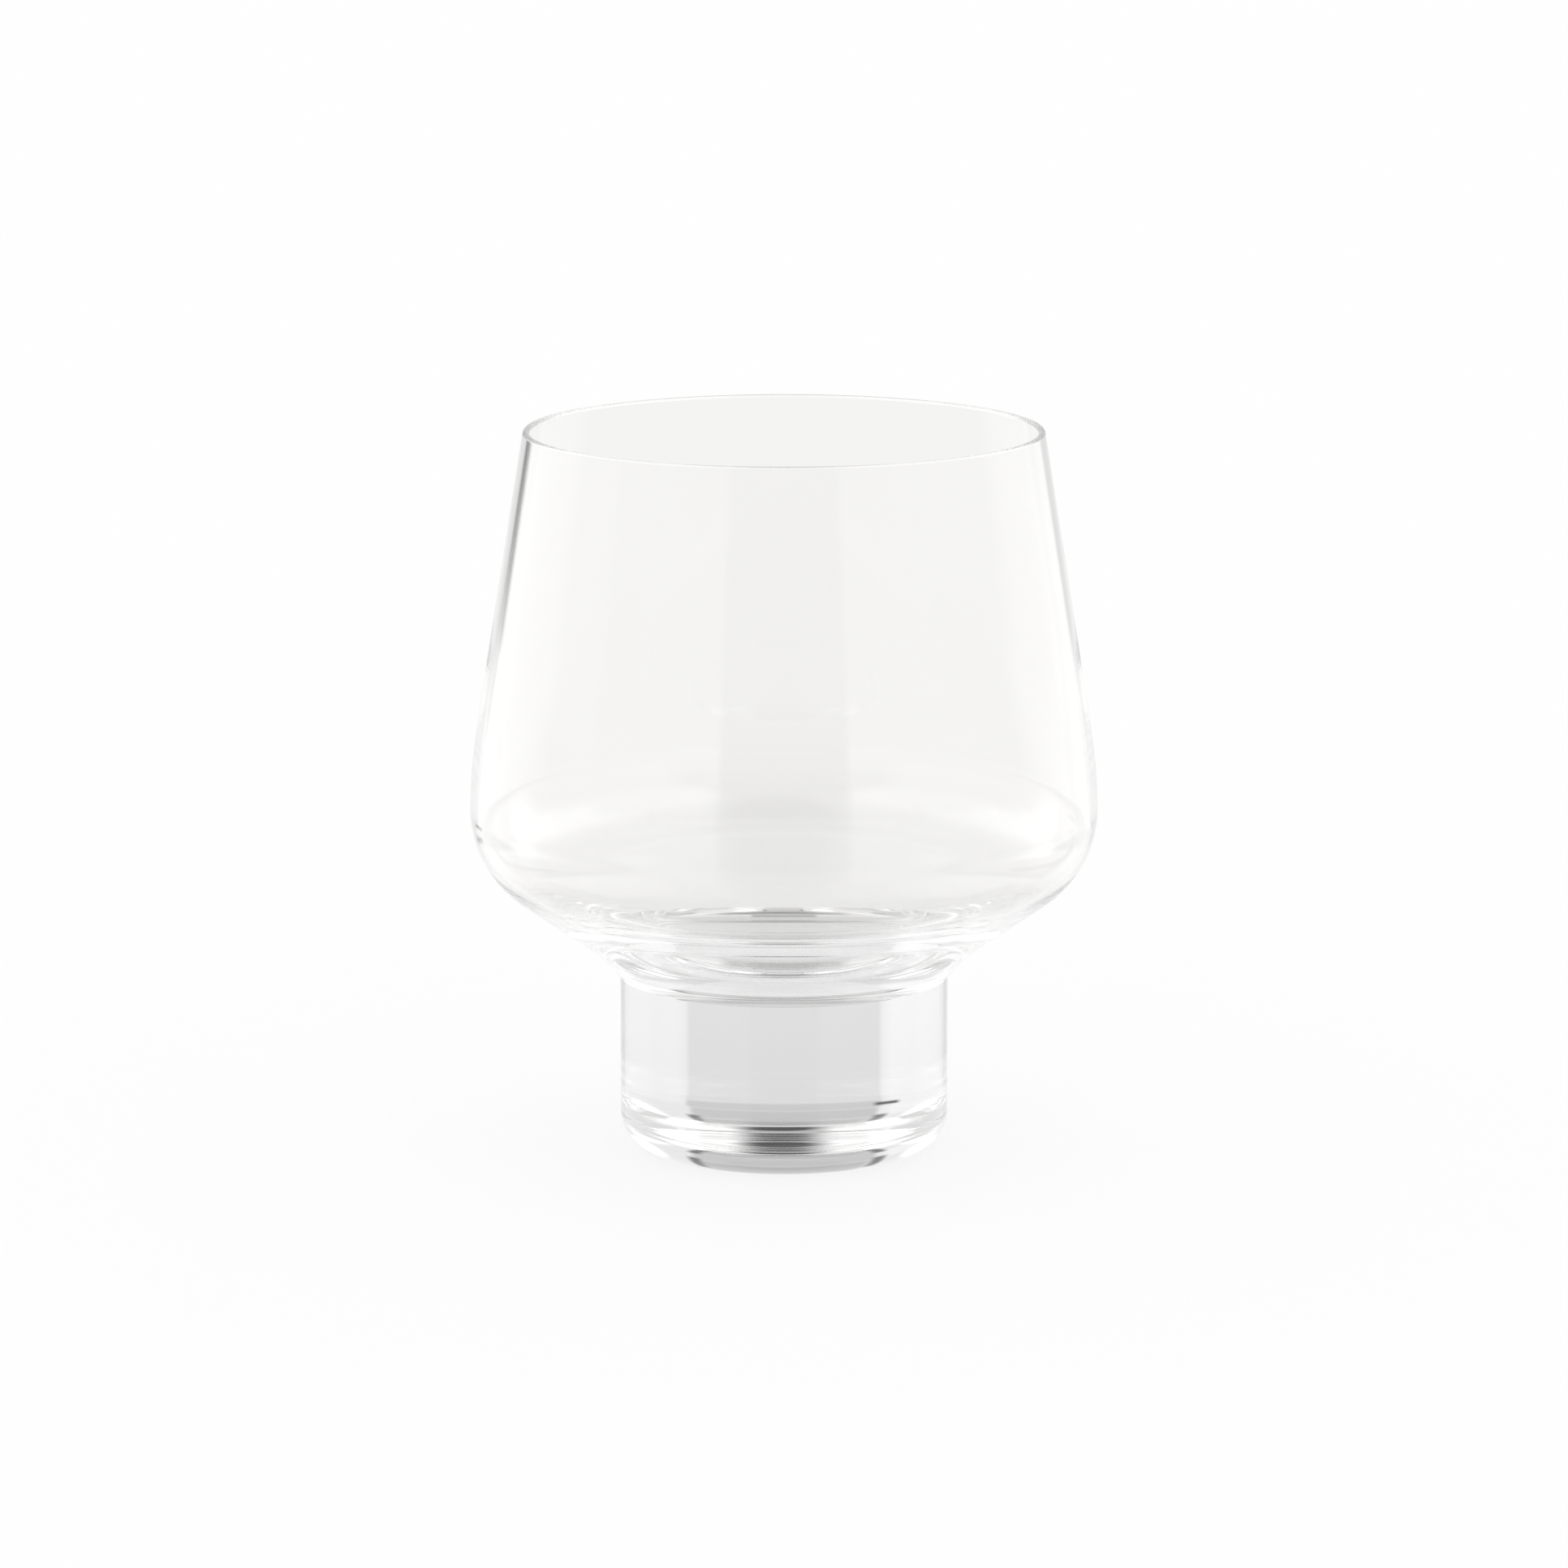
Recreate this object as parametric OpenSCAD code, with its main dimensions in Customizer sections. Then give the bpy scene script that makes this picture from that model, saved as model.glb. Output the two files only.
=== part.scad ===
// Cognac glass: a short solid foot carrying a wide bowl that draws in towards the rim.
// Millimetres, Z up. The origin is the middle of the face that stands on the table.

/* [Overall] */
// Height from the table to the top of the rim
glass_height = 102; // [97:0.5:108]
// Diameter over the rim
rim_diameter = 72.8; // [71.5:0.1:74]
// Diameter over the widest ring of the bowl
belly_diameter = 88; // [87:0.1:89]
// Height of the widest ring above the table
belly_height = 48.5; // [46:0.5:50]

/* [Bowl wall] */
// Thickness of the glass at the rim
rim_thickness = 1; // [0.7:0.1:1.6]
// Thickness of the glass at the widest ring
belly_thickness = 1.5; // [1.2:0.1:2]
// Lean of the straight upper wall from upright, in degrees
wall_lean = 9.1; // [8.8:0.1:10]

/* [Bowl bottom] */
// Radius of the outside turn under the widest ring
turn_radius = 14.7; // [14:0.1:16]
// Slope of the cone outside the bowl from level, in degrees
cone_slope = 34.9; // [32:0.1:36]
// Radius of the hollow sweep from the cone down to the foot
sweep_radius = 26.7; // [26:0.1:40]
// Radius of the inside turn under the widest ring
inner_turn_radius = 14.4; // [12:0.1:15]
// Height of the lowest point inside the bowl above the table
floor_height = 28.3; // [26.5:0.1:31]

/* [Foot] */
// Diameter of the foot
foot_diameter = 46.1; // [45:0.1:47]
// Height of the foot, up to the crease under the bowl
foot_height = 24.7; // [23:0.1:25.5]
// Radius of the rounded edge around the standing face
edge_radius = 5.2; // [1:0.1:8]

/* [Hidden] */
$fn = 180;

belly_r = belly_diameter / 2;
inner_r = belly_r - belly_thickness;
foot_r = foot_diameter / 2;

// Rim: a full round between the outer and inner faces of the straight wall.
rim_round = rim_thickness / 2;
across = [cos(wall_lean), sin(wall_lean)];
rim_middle = [rim_diameter / 2 - rim_round, glass_height - rim_round];
rim_outer = rim_middle + rim_round * across;
rim_inner = rim_middle - rim_round * across;

// Radius of the arc that leaves the widest ring upright and runs into the leaning straight wall.
function shoulder(ring, rim) =
    (rim.x - ring + (rim.y - belly_height) * tan(wall_lean)) / (1 / cos(wall_lean) - 1);
shoulder_r = shoulder(belly_r, rim_outer);
inner_shoulder_r = shoulder(inner_r, rim_inner);

// Where the straight wall leaves a shoulder arc.
function wall_start(ring, arc) =
    [ring - arc * (1 - cos(wall_lean)), belly_height + arc * sin(wall_lean)];
wall_foot = wall_start(belly_r, shoulder_r);
inner_wall_foot = wall_start(inner_r, inner_shoulder_r);

// The outside turn ends where it runs into the cone.
cone_run = [cos(cone_slope), sin(cone_slope)];
cone_out = [sin(cone_slope), -cos(cone_slope)];
turn_middle = [belly_r - turn_radius, belly_height];
cone_top = turn_middle + turn_radius * cone_out;

// The hollow sweep touches the cone and ends on the crease over the foot.
crease = [foot_r, foot_height];
to_sweep = cone_top + sweep_radius * cone_out - crease;
reach = to_sweep * cone_run;
cone_length = reach - sqrt(reach * reach - to_sweep * to_sweep + sweep_radius * sweep_radius);
cone_bottom = cone_top - cone_length * cone_run;
sweep_middle = cone_bottom + sweep_radius * cone_out;

// The inside turn runs into a shallow dish that is centred on the axis.
inner_turn_middle = [inner_r - inner_turn_radius, belly_height];
dish_depth = belly_height - floor_height;
dish_r = (pow(inner_turn_middle.x, 2) + pow(dish_depth, 2) - pow(inner_turn_radius, 2))
    / (2 * (dish_depth - inner_turn_radius));
dish_middle = [0, floor_height + dish_r];
dish_edge = dish_middle
    + (inner_turn_middle - dish_middle) * dish_r / (dish_r - inner_turn_radius);

// Level band of the section plane, from one height to another and from one radius to another.
module band(low, high, from, to)
    polygon([[from, low], [to, low], [to, high], [from, high]]);

// Solid outline of the bowl, as if it had no hollow.
module bowl_outside() {
    difference() {
        band(foot_height, cone_bottom.y, 0, cone_bottom.x);
        translate(sweep_middle)
            circle(r = sweep_radius);
    }
    polygon([[0, cone_bottom.y], cone_bottom, cone_top, [0, cone_top.y]]);
    band(cone_top.y, belly_height, 0, turn_middle.x);
    intersection() {
        translate(turn_middle)
            circle(r = turn_radius);
        band(cone_top.y, belly_height, turn_middle.x, belly_r + 1);
    }
    intersection() {
        translate([belly_r - shoulder_r, belly_height])
            circle(r = shoulder_r);
        band(belly_height, wall_foot.y, 0, belly_r + 1);
    }
    polygon([[0, wall_foot.y], wall_foot, rim_outer, rim_inner, [0, rim_inner.y]]);
}

// Hollow of the bowl: dish, inside turn, shoulder arc and straight wall.
module bowl_inside() {
    intersection() {
        translate(dish_middle)
            circle(r = dish_r);
        band(floor_height - 1, dish_edge.y, 0, dish_edge.x + 1);
    }
    band(dish_edge.y, belly_height, 0, inner_turn_middle.x);
    intersection() {
        translate(inner_turn_middle)
            circle(r = inner_turn_radius);
        band(dish_edge.y, belly_height, inner_turn_middle.x, inner_r + 1);
    }
    intersection() {
        translate([inner_r - inner_shoulder_r, belly_height])
            circle(r = inner_shoulder_r);
        band(belly_height, inner_wall_foot.y, 0, inner_r + 1);
    }
    polygon([[0, inner_wall_foot.y], inner_wall_foot, rim_inner, [0, rim_inner.y]]);
}

// Upper half of the fire-polished lip.
module lip()
    intersection() {
        translate(rim_middle)
            circle(r = rim_round);
        translate(rim_middle)
            rotate(wall_lean)
                band(0, 2 * rim_round, -2 * rim_round, 2 * rim_round);
    }

// Thin blown bowl that thickens towards its bottom, standing on the foot at the crease.
module bowl()
    color([0.93, 0.95, 0.95, 0.35])
        rotate_extrude() {
            difference() {
                bowl_outside();
                bowl_inside();
            }
            lip();
        }

// Solid foot with a rounded edge around its level standing face.
module foot()
    color([0.93, 0.95, 0.95, 0.35])
        rotate_extrude() {
            band(edge_radius, foot_height, 0, foot_r);
            band(0, edge_radius, 0, foot_r - edge_radius);
            intersection() {
                translate([foot_r - edge_radius, edge_radius])
                    circle(r = edge_radius);
                band(0, edge_radius, foot_r - edge_radius, foot_r + 1);
            }
        }

bowl();
foot();
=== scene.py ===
# Cognac glass: the blown bowl, the solid foot, their clear glass, a white studio and the camera.
import math

import bpy
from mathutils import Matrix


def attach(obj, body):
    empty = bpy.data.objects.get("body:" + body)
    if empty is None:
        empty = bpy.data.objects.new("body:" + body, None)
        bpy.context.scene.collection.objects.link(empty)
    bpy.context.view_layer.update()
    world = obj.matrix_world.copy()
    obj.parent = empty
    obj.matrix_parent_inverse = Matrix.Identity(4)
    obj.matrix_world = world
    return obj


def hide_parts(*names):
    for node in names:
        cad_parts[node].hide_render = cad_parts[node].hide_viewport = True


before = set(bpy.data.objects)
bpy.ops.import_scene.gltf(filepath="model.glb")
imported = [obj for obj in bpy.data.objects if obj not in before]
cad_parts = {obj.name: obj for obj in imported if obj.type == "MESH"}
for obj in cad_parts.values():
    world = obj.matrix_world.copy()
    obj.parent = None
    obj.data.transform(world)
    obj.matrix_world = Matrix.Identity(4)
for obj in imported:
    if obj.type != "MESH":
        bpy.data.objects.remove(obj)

scene = bpy.context.scene
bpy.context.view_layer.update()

# Millimetres, as in the part's source, except for the bowl's inside turn and dish
GLASS_HEIGHT = 102.0
RIM_R = 36.4
BELLY_R = 44.0
BELLY_HEIGHT = 48.5
RIM_ROUND = 0.5
BELLY_THICKNESS = 1.5
WALL_LEAN = 9.1
TURN_R = 14.7
CONE_SLOPE = 34.9
SWEEP_R = 26.7
INNER_BELLY_HEIGHT = 47.0
INNER_TURN_R = 11.0
DISH_HEIGHT = 30.6
FOOT_R = 23.05
FOOT_HEIGHT = 24.7
EDGE_R = 5.2

# Slices around the axis, and steps up each side of the wall
SLICES = 240
WALL_STEPS = 48

GLASS_IOR = 1.52
# Enough bounces for light that runs along inside the wall and comes out again
GLASS_BOUNCES = 200
CLEAR_BOUNCES = 64

# Metres. The floor lies just under the standing face.
FLOOR_HALF = 3.0
FLOOR_Z = -0.0003
# Share of the floor that shows plain white, and the rest takes the shadow
FLOOR_WHITE = 0.85

CAMERA_PLACE = (0.0, -1.06897, 0.25363)
CAMERA_DOWN = 10.692
CAMERA_SENSOR_MM = 36.0
CAMERA_LENS_MM = 178.05

# Brightness of the studio where no panel stands
STUDIO_LEVEL = 1.02


def turned(degrees):
    """Unit step in the section plane, from +R towards +Z."""
    a = math.radians(degrees)
    return math.cos(a), math.sin(a)


def arc(middle, radius, start, end, step):
    """Arc in the section plane, about step degrees between points.

    Each point is r, z and the way its surface faces.
    """
    n = max(2, math.ceil(abs(end - start) / step))
    facing = 1 if end > start else -1
    points = []
    for i in range(n + 1):
        c, s = turned(start + (end - start) * i / n)
        points.append((middle[0] + radius * c, middle[1] + radius * s, facing * c, facing * s))
    return points


def line(start, end, n):
    """Straight stretch in n equal steps. Its surface faces right of the way it runs."""
    dr, dz = end[0] - start[0], end[1] - start[1]
    length = math.hypot(dr, dz)
    return [(start[0] + dr * i / n, start[1] + dz * i / n, dz / length, -dr / length) for i in range(n + 1)]


def wall(ring, rim, n):
    """Wall that leaves a ring upright and eases into the straight lean below the rim, in n equal rises."""
    slope = math.tan(math.radians(WALL_LEAN))
    rise = rim[1] - ring[1]
    bend = 3 * ((rim[0] - ring[0]) / slope + rise)
    points = []
    for i in range(n + 1):
        up = rise * i / n
        share = min(1.0, up / bend)
        lean = slope * (2 * share - share**2)
        drop = slope * (bend * (share**2 - share**3 / 3) + max(0.0, up - bend))
        length = math.hypot(1, lean)
        points.append((ring[0] - drop, ring[1] + up, 1 / length, lean / length))
    return points


def bowl_outside():
    """Stretches from the crease over the foot up to the outer side of the rim."""
    across, rise = turned(WALL_LEAN)
    rim = (RIM_R - RIM_ROUND + RIM_ROUND * across, GLASS_HEIGHT - RIM_ROUND + RIM_ROUND * rise)
    run = turned(CONE_SLOPE)
    out = (run[1], -run[0])
    turn_middle = (BELLY_R - TURN_R, BELLY_HEIGHT)
    cone_top = (turn_middle[0] + TURN_R * out[0], turn_middle[1] + TURN_R * out[1])
    dx = cone_top[0] + SWEEP_R * out[0] - FOOT_R
    dz = cone_top[1] + SWEEP_R * out[1] - FOOT_HEIGHT
    reach = dx * run[0] + dz * run[1]
    length = reach - math.sqrt(reach * reach - dx * dx - dz * dz + SWEEP_R * SWEEP_R)
    cone_bottom = (cone_top[0] - length * run[0], cone_top[1] - length * run[1])
    sweep_middle = (cone_bottom[0] + SWEEP_R * out[0], cone_bottom[1] + SWEEP_R * out[1])
    crease = math.degrees(math.atan2(FOOT_HEIGHT - sweep_middle[1], FOOT_R - sweep_middle[0])) % 360
    sweep = arc(sweep_middle, SWEEP_R, crease, 90 + CONE_SLOPE, 1.2)
    cone = line(cone_bottom, cone_top, 8)
    turn = arc(turn_middle, TURN_R, CONE_SLOPE - 90, 0, 1.5)
    return [sweep, cone, turn, wall((BELLY_R, BELLY_HEIGHT), rim, WALL_STEPS)]


def bowl_inside():
    """Stretches from the inner side of the rim down to the lowest point of the dish on the axis."""
    across, rise = turned(WALL_LEAN)
    rim = (RIM_R - RIM_ROUND - RIM_ROUND * across, GLASS_HEIGHT - RIM_ROUND - RIM_ROUND * rise)
    ring = BELLY_R - BELLY_THICKNESS
    turn_middle = (ring - INNER_TURN_R, INNER_BELLY_HEIGHT)
    depth = INNER_BELLY_HEIGHT - DISH_HEIGHT
    dish_r = (turn_middle[0] ** 2 + depth**2 - INNER_TURN_R**2) / (2 * (depth - INNER_TURN_R))
    edge = math.degrees(math.asin(turn_middle[0] / (dish_r - INNER_TURN_R)))
    upright = wall((ring, INNER_BELLY_HEIGHT), rim, WALL_STEPS)
    hollow_side = [(r, z, -out, -up) for r, z, out, up in reversed(upright)]
    turn = arc(turn_middle, INNER_TURN_R, 0, edge - 90, 1.5)
    dish = arc((0.0, DISH_HEIGHT + dish_r), dish_r, edge - 90, -90, 0.6)
    return [hollow_side, turn, dish]


def bowl_section():
    """Closed section of the bowl, from the axis on the seam round to the axis in the dish, and its seam's place."""
    seam = line((0.0, FOOT_HEIGHT), (FOOT_R, FOOT_HEIGHT), 4)
    lip = arc((RIM_R - RIM_ROUND, GLASS_HEIGHT - RIM_ROUND), RIM_ROUND, WALL_LEAN, WALL_LEAN + 180, 6)
    return [seam] + bowl_outside() + [lip] + bowl_inside(), 0


def foot_section():
    """Closed section of the foot, from the axis on the standing face round to the axis, and its seam's place."""
    base = line((0.0, 0.0), (FOOT_R - EDGE_R, 0.0), 6)
    edge = arc((FOOT_R - EDGE_R, EDGE_R), EDGE_R, -90, 0, 2.0)
    side = line((FOOT_R, EDGE_R), (FOOT_R, FOOT_HEIGHT), 8)
    seam = line((FOOT_R, FOOT_HEIGHT), (0.0, FOOT_HEIGHT), 4)
    return [base, edge, side, seam], 3


def spin(name, section, seam, glass, joined):
    """Turns a section about the axis into a closed solid with true surface directions.

    The seam gets the fused finish.
    """
    around = [turned(360 * i / SLICES) for i in range(SLICES)]
    verts = []
    faces = []
    facing = []
    finish = []

    def ring_at(r, z):
        first = len(verts)
        if r < 1e-6:
            verts.append((0.0, 0.0, z / 1000))
            return [first] * SLICES
        verts.extend((r * c / 1000, r * s / 1000, z / 1000) for c, s in around)
        return list(range(first, first + SLICES))

    last = ring_at(*section[0][0][:2])
    for k, stretch in enumerate(section):
        for a, b in zip(stretch, stretch[1:]):
            ring = ring_at(*b[:2])
            for i in range(SLICES):
                j = (i + 1) % SLICES
                corners = [(last[i], a, i), (last[j], a, j), (ring[j], b, j), (ring[i], b, i)]
                if last[0] == last[1]:
                    corners.pop(1)
                if ring[0] == ring[1]:
                    corners.pop(2)
                faces.append([corner[0] for corner in corners])
                facing.extend((p[2] * around[m][0], p[2] * around[m][1], p[3]) for _, p, m in corners)
                finish.append(1 if k == seam else 0)
            last = ring
    mesh = bpy.data.meshes.new(name)
    mesh.from_pydata(verts, [], faces)
    mesh.polygons.foreach_set("use_smooth", [True] * len(faces))
    mesh.polygons.foreach_set("material_index", finish)
    mesh.normals_split_custom_set(facing)
    mesh.materials.append(glass)
    mesh.materials.append(joined)
    piece = bpy.data.objects.new(name, mesh)
    scene.collection.objects.link(piece)
    return piece


def add_node(tree, kind, **settings):
    """New node of a kind, with its settings."""
    node = tree.nodes.new(kind)
    for key, value in settings.items():
        setattr(node, key, value)
    return node


def blown_ripple():
    """Height of the faint waves that blowing and turning leave in glass, deeper in its thick bottom."""
    group = bpy.data.node_groups.new("blown_ripple", "ShaderNodeTree")
    for name, start in (
        ("Waves per metre", 70.0), ("Flattening", 2.5), ("Detail", 1.0),
        ("Deepening", 1.0), ("Deep below", 0.03), ("Calm above", 0.046),
    ):
        socket = group.interface.new_socket(name, in_out="INPUT", socket_type="NodeSocketFloat")
        socket.default_value = start
    group.interface.new_socket("Height", in_out="OUTPUT", socket_type="NodeSocketFloat")
    given = add_node(group, "NodeGroupInput")
    result = add_node(group, "NodeGroupOutput")
    place = add_node(group, "ShaderNodeTexCoord")
    stretch = add_node(group, "ShaderNodeCombineXYZ")
    stretch.inputs["X"].default_value = 1.0
    stretch.inputs["Y"].default_value = 1.0
    flat = add_node(group, "ShaderNodeVectorMath", operation="MULTIPLY")
    waves = add_node(group, "ShaderNodeTexNoise")
    waves.inputs["Roughness"].default_value = 0.35
    link = group.links.new
    link(given.outputs["Flattening"], stretch.inputs["Z"])
    link(place.outputs["Object"], flat.inputs[0])
    link(stretch.outputs[0], flat.inputs[1])
    link(flat.outputs[0], waves.inputs["Vector"])
    link(given.outputs["Waves per metre"], waves.inputs["Scale"])
    link(given.outputs["Detail"], waves.inputs["Detail"])
    height = add_node(group, "ShaderNodeSeparateXYZ")
    calm = add_node(group, "ShaderNodeMapRange", interpolation_type="SMOOTHSTEP")
    deep = add_node(group, "ShaderNodeMath", operation="MULTIPLY")
    link(place.outputs["Object"], height.inputs[0])
    link(height.outputs["Z"], calm.inputs["Value"])
    link(given.outputs["Deep below"], calm.inputs["From Min"])
    link(given.outputs["Calm above"], calm.inputs["From Max"])
    link(given.outputs["Deepening"], calm.inputs["To Min"])
    link(waves.outputs["Fac"], deep.inputs[0])
    link(calm.outputs[0], deep.inputs[1])
    link(deep.outputs[0], result.inputs["Height"])
    return group


def absorption_and_shade():
    """Colour of the glass by height: clear where the wall is thin, and grey where it is thick, partly the glass's
    own absorption and partly painted shade for the shaded table seen through it.
    """
    group = bpy.data.node_groups.new("absorption_and_shade", "ShaderNodeTree")
    for name, kind, start in (
        ("Thin", "NodeSocketColor", (1.0, 1.0, 1.0, 1.0)),
        ("Thick", "NodeSocketColor", (0.85, 0.85, 0.85, 1.0)),
        ("Thick below", "NodeSocketFloat", 0.0),
        ("Thin above", "NodeSocketFloat", 0.04),
    ):
        socket = group.interface.new_socket(name, in_out="INPUT", socket_type=kind)
        socket.default_value = start
    group.interface.new_socket("Color", in_out="OUTPUT", socket_type="NodeSocketColor")
    given = add_node(group, "NodeGroupInput")
    result = add_node(group, "NodeGroupOutput")
    place = add_node(group, "ShaderNodeTexCoord")
    height = add_node(group, "ShaderNodeSeparateXYZ")
    rise = add_node(group, "ShaderNodeMapRange", interpolation_type="SMOOTHSTEP")
    blend = add_node(group, "ShaderNodeMix", data_type="RGBA")
    link = group.links.new
    link(place.outputs["Object"], height.inputs[0])
    link(height.outputs["Z"], rise.inputs["Value"])
    link(given.outputs["Thick below"], rise.inputs["From Min"])
    link(given.outputs["Thin above"], rise.inputs["From Max"])
    link(rise.outputs[0], blend.inputs[0])
    link(given.outputs["Thick"], blend.inputs[6])
    link(given.outputs["Thin"], blend.inputs[7])
    link(blend.outputs[2], result.inputs["Color"])
    return group


def clear_glass(name, ripple, tint_and_shade, *, waves, flattening, depth_mm, deepening, thin, thick, thick_below, thin_above):
    """Clear fire-polished glass, wavier where it is thick, and greyer there from its own absorption and from painted
    shade. Heights and depths are millimetres.
    """
    material = bpy.data.materials.new(name)
    material.use_nodes = True
    tree = material.node_tree
    glass = tree.nodes["Principled BSDF"]
    glass.inputs["Roughness"].default_value = 0.0
    glass.inputs["IOR"].default_value = GLASS_IOR
    glass.inputs["Transmission Weight"].default_value = 1.0
    # Base colour greyer where the glass is thick: partly absorption, partly painted shade
    colour = add_node(tree, "ShaderNodeGroup", node_tree=tint_and_shade)
    colour.inputs["Thin"].default_value = (*thin, 1.0)
    colour.inputs["Thick"].default_value = (*thick, 1.0)
    colour.inputs["Thick below"].default_value = thick_below / 1000
    colour.inputs["Thin above"].default_value = thin_above / 1000
    tree.links.new(colour.outputs["Color"], glass.inputs["Base Color"])
    wave = add_node(tree, "ShaderNodeGroup", node_tree=ripple)
    wave.inputs["Waves per metre"].default_value = waves
    wave.inputs["Flattening"].default_value = flattening
    wave.inputs["Deepening"].default_value = deepening
    bump = add_node(tree, "ShaderNodeBump")
    bump.inputs["Strength"].default_value = 1.0
    bump.inputs["Distance"].default_value = depth_mm / 1000
    tree.links.new(wave.outputs["Height"], bump.inputs["Height"])
    tree.links.new(bump.outputs["Normal"], glass.inputs["Normal"])
    return material


def fused_seam():
    """The hot-fused joint: light goes straight through, so the two pieces read as one body of glass."""
    material = bpy.data.materials.new("fused_seam")
    material.use_nodes = True
    joint = material.node_tree.nodes["Principled BSDF"]
    joint.inputs["Base Color"].default_value = (0.996, 0.998, 0.996, 1.0)
    joint.inputs["Roughness"].default_value = 0.0
    joint.inputs["Alpha"].default_value = 0.0
    return material


# Panels of the white studio, by the direction in which the glass sees them. Side is degrees from straight
# behind, half its half width, blur its side edge, low and high its height in degrees, soft its upper and
# lower edge, level its brightness where 1 is white. Later panels stand before earlier ones.
PANELS = (
    # Long reflectors left and right, the left one brighter
    dict(side=-66, half=38, blur=4.0, low=-40, high=12, soft=4.0, level=1.15),
    dict(side=66, half=38, blur=4.0, low=-40, high=-3, soft=3.0, level=1.1),
    # Table at the sides and in front, and close to the glass all round
    dict(side=180, half=108, blur=8.0, low=-68, high=-3, soft=3.0, level=0.84),
    dict(side=0, half=181, blur=1.0, low=-68, high=-38, soft=4.0, level=0.88),
    # Back sheet: it lies on the table and rises behind the glass
    dict(side=0, half=26.5, blur=1.0, low=-95, high=-1.5, soft=1.5, level=0.912),
    dict(side=0, half=26.5, blur=1.0, low=-62, high=-18, soft=4.0, level=0.985),
    dict(side=0, half=26, blur=1.0, low=-7.0, high=-1.5, soft=1.0, level=0.75),
    dict(side=0, half=25, blur=1.5, low=-1.5, high=12, soft=3.0, level=0.7),
    dict(side=0, half=24, blur=3.0, low=12, high=48, soft=4.0, level=0.6),
    dict(side=0, half=32, blur=8.0, low=46, high=72, soft=5.0, level=0.45),
    # Gaps between the back sheet and the reflectors
    dict(side=25, half=2.2, blur=1.6, low=9, high=34, soft=2.0, level=0.2),
    dict(side=-27, half=2.5, blur=1.8, low=9, high=34, soft=2.0, level=0.2),
    dict(side=-28.5, half=4.6, blur=1.6, low=-5.4, high=-2.6, soft=1.0, level=0.12),
    # The open side of the studio, where the camera stands
    dict(side=180, half=24, blur=2.0, low=-16, high=10, soft=5.0, level=0.5),
    dict(side=180, half=46, blur=8.0, low=12, high=58, soft=5.0, level=0.55),
    # Shade under the foot
    dict(side=0, half=181, blur=1.0, low=-95, high=-68, soft=4.0, level=0.4),
)

# Long lights and shades: side and height of their two ends in degrees, core and reach of the fade, level.
STRIPS = (
    dict(start=(52, 18), end=(92, 42), core=5, reach=16, level=2.2),
    dict(start=(-52, 18), end=(-92, 42), core=5, reach=16, level=2.2),
    dict(start=(98, 38), end=(130, 48), core=4, reach=17, level=1.5),
    dict(start=(-98, 38), end=(-130, 48), core=4, reach=17, level=1.5),
    dict(start=(175, 71), end=(176, 79), core=8, reach=22, level=0.08),
)


def towards(side, height):
    """Unit step towards a place in the studio, degrees from straight behind and above level."""
    flat, rise = turned(height)
    across, back = math.sin(math.radians(side)), math.cos(math.radians(side))
    return flat * across, flat * back, rise


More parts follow.
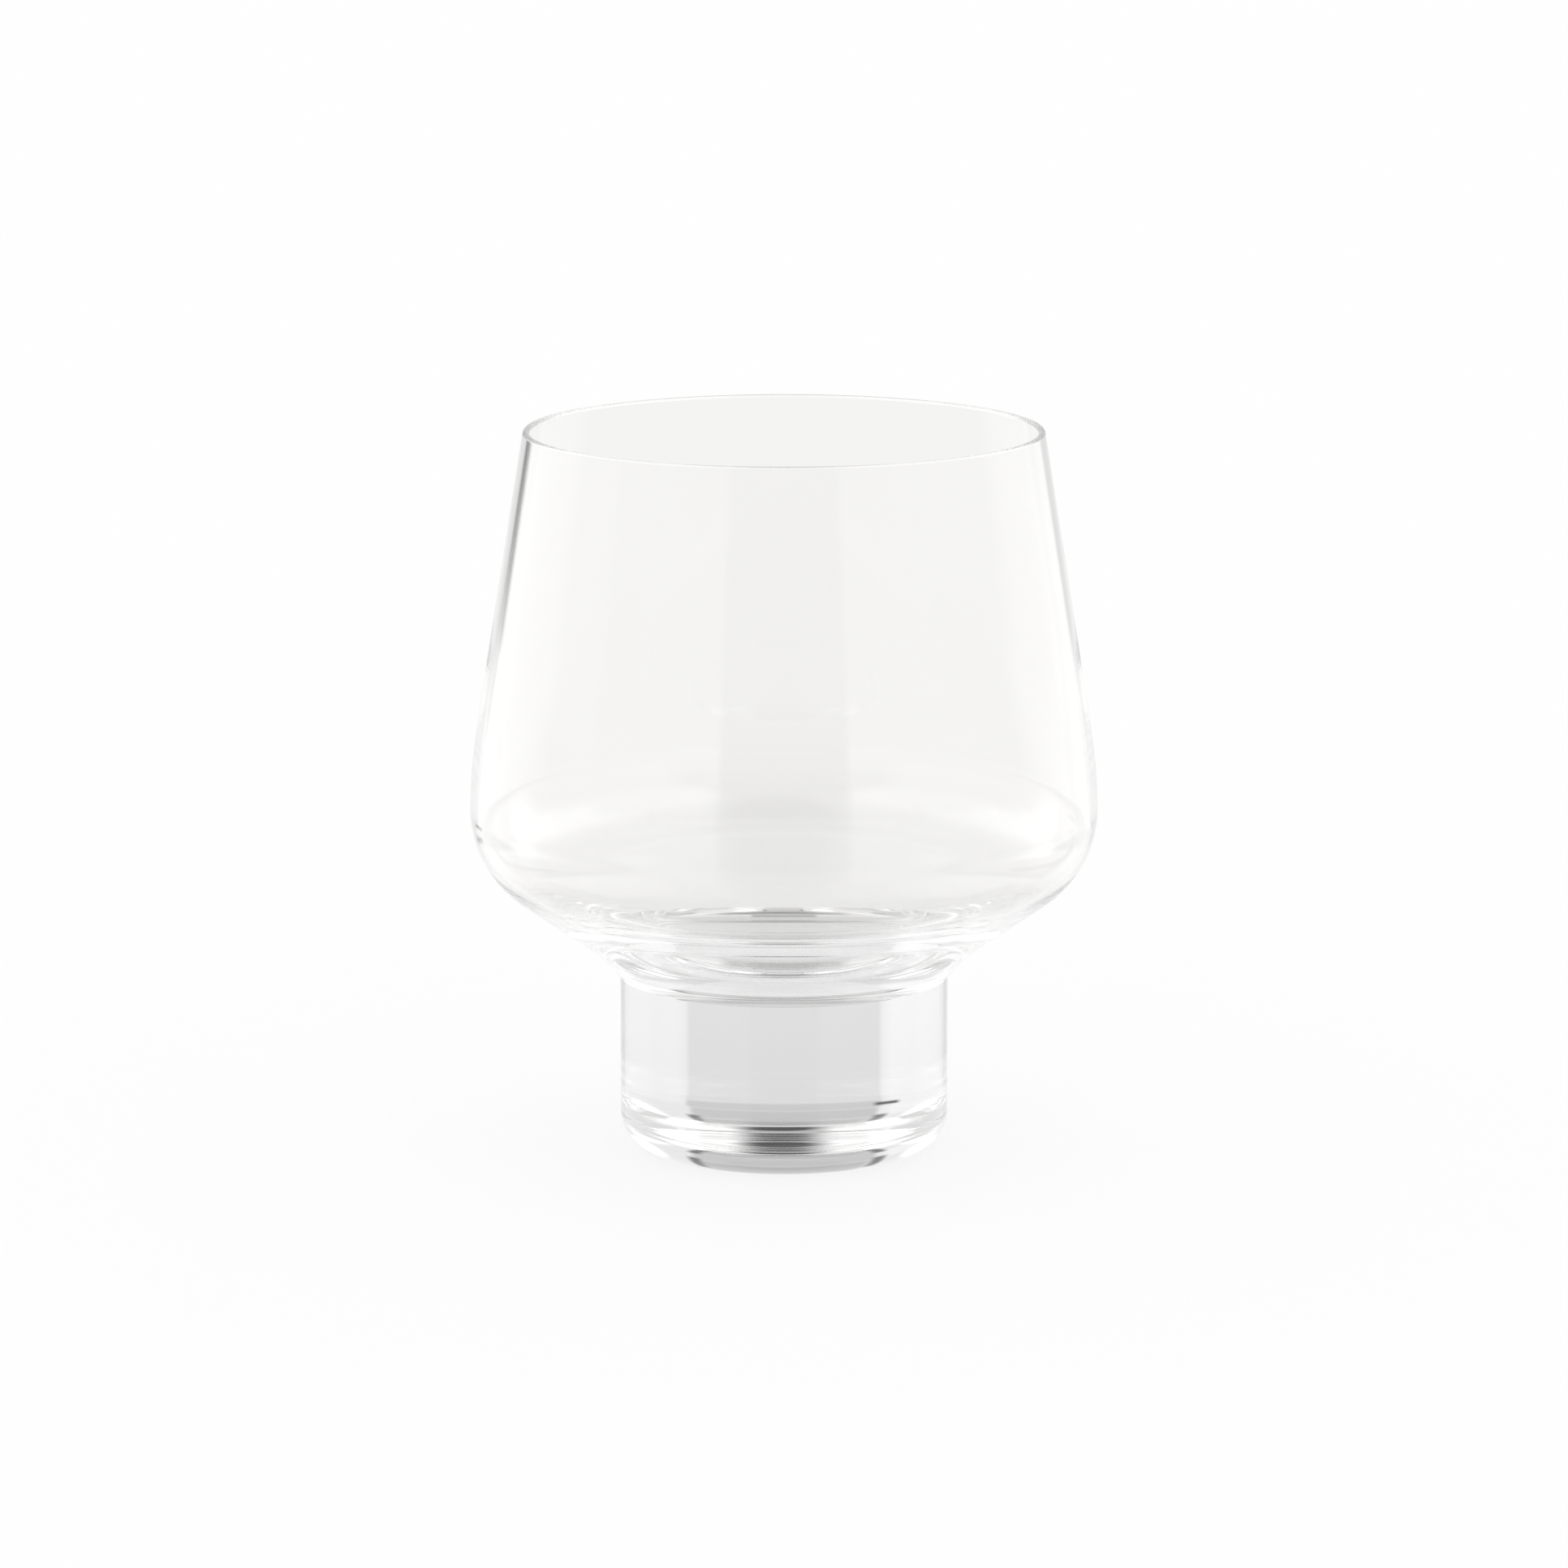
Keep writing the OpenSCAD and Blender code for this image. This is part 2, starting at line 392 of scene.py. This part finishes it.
def studio_light():
    """White surroundings. The glass mirrors and bends the studio's panels, and all else sees plain white."""
    world = bpy.data.worlds.new("white_studio")
    scene.world = world
    world.use_nodes = True
    tree = world.node_tree
    tree.nodes.clear()
    link = tree.links.new

    def feed(socket, value):
        if isinstance(value, (int, float)):
            socket.default_value = value
        else:
            link(value, socket)

    def sums(operation, *values):
        node = add_node(tree, "ShaderNodeMath", operation=operation)
        for i, value in enumerate(values):
            feed(node.inputs[i], value)
        return node.outputs[0]

    def rises(value, at, soft):
        node = add_node(tree, "ShaderNodeMapRange", interpolation_type="SMOOTHSTEP")
        link(value, node.inputs["Value"])
        node.inputs["From Min"].default_value = at - soft
        node.inputs["From Max"].default_value = at + soft
        return node.outputs[0]

    def mixed(factor, a, b):
        node = add_node(tree, "ShaderNodeMix", data_type="FLOAT")
        for i, value in ((0, factor), (2, a), (3, b)):
            feed(node.inputs[i], value)
        return node.outputs[0]

    def vectors(operation, value, fixed):
        node = add_node(tree, "ShaderNodeVectorMath", operation=operation)
        link(value, node.inputs[0])
        node.inputs[1].default_value = fixed
        return node

    direction = add_node(tree, "ShaderNodeTexCoord")
    split = add_node(tree, "ShaderNodeSeparateXYZ")
    link(direction.outputs["Generated"], split.inputs[0])
    x, y, z = split.outputs
    height = sums("MULTIPLY", sums("ARCSINE", z), 180 / math.pi)
    around = sums("MULTIPLY", sums("ARCTAN2", x, y), 180 / math.pi)
    level = STUDIO_LEVEL
    for panel in PANELS:
        aside = sums("ABSOLUTE", sums("WRAP", sums("SUBTRACT", around, panel["side"]), -180.0, 180.0))
        wide = sums("SUBTRACT", 1.0, rises(aside, panel["half"], panel["blur"]))
        tall = sums("MULTIPLY", rises(height, panel["low"], panel["soft"]),
                    sums("SUBTRACT", 1.0, rises(height, panel["high"], panel["soft"])))
        level = mixed(sums("MULTIPLY", wide, tall), level, panel["level"])
    for strip in STRIPS:
        first, last = towards(*strip["start"]), towards(*strip["end"])
        run = tuple(b - a for a, b in zip(first, last))
        from_first = vectors("SUBTRACT", direction.outputs["Generated"], first)
        along = vectors("DOT_PRODUCT", from_first.outputs[0], run)
        share = add_node(tree, "ShaderNodeMath", operation="DIVIDE", use_clamp=True)
        link(along.outputs["Value"], share.inputs[0])
        share.inputs[1].default_value = sum(a * a for a in run)
        nearest = add_node(tree, "ShaderNodeVectorMath", operation="SCALE")
        nearest.inputs[0].default_value = run
        link(share.outputs[0], nearest.inputs["Scale"])
        off = add_node(tree, "ShaderNodeVectorMath", operation="DISTANCE")
        link(from_first.outputs[0], off.inputs[0])
        link(nearest.outputs[0], off.inputs[1])
        away = sums("MULTIPLY", off.outputs["Value"], 180 / math.pi)
        middle = (strip["core"] + strip["reach"]) / 2
        fade = rises(away, middle, strip["reach"] - middle)
        level = mixed(fade, strip["level"], level)
    ray = add_node(tree, "ShaderNodeLightPath")
    in_glass = sums("MAXIMUM", ray.outputs["Is Glossy Ray"], ray.outputs["Is Transmission Ray"])
    white = add_node(tree, "ShaderNodeBackground")
    white.inputs["Color"].default_value = (1.0, 1.0, 1.0, 1.0)
    link(mixed(in_glass, 1.0, level), white.inputs["Strength"])
    output = add_node(tree, "ShaderNodeOutputWorld")
    link(white.outputs[0], output.inputs["Surface"])


def white_floor():
    """Pale floor that shows white, keeps a faint shadow, and lets the glass see the studio past it."""
    mesh = bpy.data.meshes.new("floor")
    corners = [(a * FLOOR_HALF, b * FLOOR_HALF, FLOOR_Z) for a, b in ((-1, -1), (1, -1), (1, 1), (-1, 1))]
    mesh.from_pydata(corners, [], [(0, 1, 2, 3)])
    floor = bpy.data.objects.new("floor", mesh)
    scene.collection.objects.link(floor)
    material = bpy.data.materials.new("white_floor")
    material.use_nodes = True
    tree = material.node_tree
    tree.nodes.clear()
    link = tree.links.new
    paint = add_node(tree, "ShaderNodeBsdfDiffuse")
    paint.inputs["Color"].default_value = (0.95, 0.95, 0.95, 1.0)
    white = add_node(tree, "ShaderNodeEmission")
    white.inputs["Color"].default_value = (1.0, 1.0, 1.0, 1.0)
    white.inputs["Strength"].default_value = 1.0
    shown = add_node(tree, "ShaderNodeMixShader")
    shown.inputs["Fac"].default_value = FLOOR_WHITE
    link(paint.outputs[0], shown.inputs[1])
    link(white.outputs[0], shown.inputs[2])
    ray = add_node(tree, "ShaderNodeLightPath")
    in_glass = add_node(tree, "ShaderNodeMath", operation="MAXIMUM")
    link(ray.outputs["Is Glossy Ray"], in_glass.inputs[0])
    link(ray.outputs["Is Transmission Ray"], in_glass.inputs[1])
    clear = add_node(tree, "ShaderNodeBsdfTransparent")
    either = add_node(tree, "ShaderNodeMixShader")
    link(in_glass.outputs[0], either.inputs["Fac"])
    link(shown.outputs[0], either.inputs[1])
    link(clear.outputs[0], either.inputs[2])
    output = add_node(tree, "ShaderNodeOutputMaterial")
    link(either.outputs[0], output.inputs["Surface"])
    mesh.materials.append(material)


def photo_camera():
    """Camera slightly above the rim, looking down at the belly."""
    lens = bpy.data.cameras.new("camera")
    lens.sensor_width = CAMERA_SENSOR_MM
    lens.lens = CAMERA_LENS_MM
    lens.clip_start = 0.01
    lens.clip_end = 100.0
    camera = bpy.data.objects.new("camera", lens)
    camera.location = CAMERA_PLACE
    camera.rotation_euler = (math.radians(90 - CAMERA_DOWN), 0.0, 0.0)
    scene.collection.objects.link(camera)
    scene.camera = camera


photo_camera()
studio_light()
white_floor()
scene.view_settings.view_transform = "Standard"
scene.cycles.max_bounces = GLASS_BOUNCES
scene.cycles.glossy_bounces = GLASS_BOUNCES
scene.cycles.transmission_bounces = GLASS_BOUNCES
scene.cycles.transparent_max_bounces = CLEAR_BOUNCES

ripple = blown_ripple()
tint_and_shade = absorption_and_shade()
seam_finish = fused_seam()
# The bowl greys in its thick bottom: partly absorption, partly painted shade of the shaded table seen through it
bowl_glass = clear_glass(
    "bowl_glass", ripple, tint_and_shade,
    waves=60.0, flattening=2.0, depth_mm=0.004, deepening=6.0,
    thin=(1.0, 0.997, 0.99), thick=(0.88, 0.88, 0.878), thick_below=27.0, thin_above=47.0,
)
# The foot is grey all through: partly absorption, partly painted shade of the shaded table seen through it
foot_glass = clear_glass(
    "foot_glass", ripple, tint_and_shade,
    waves=45.0, flattening=1.0, depth_mm=0.003, deepening=1.0,
    thin=(0.84, 0.84, 0.838), thick=(0.8, 0.802, 0.8), thick_below=4.0, thin_above=26.0,
)
bowl = spin("blown_bowl", *bowl_section(), bowl_glass, seam_finish)
foot = spin("solid_foot", *foot_section(), foot_glass, seam_finish)
for piece, node in ((bowl, "bowl"), (foot, "foot")):
    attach(piece, "root")
    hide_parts(node)
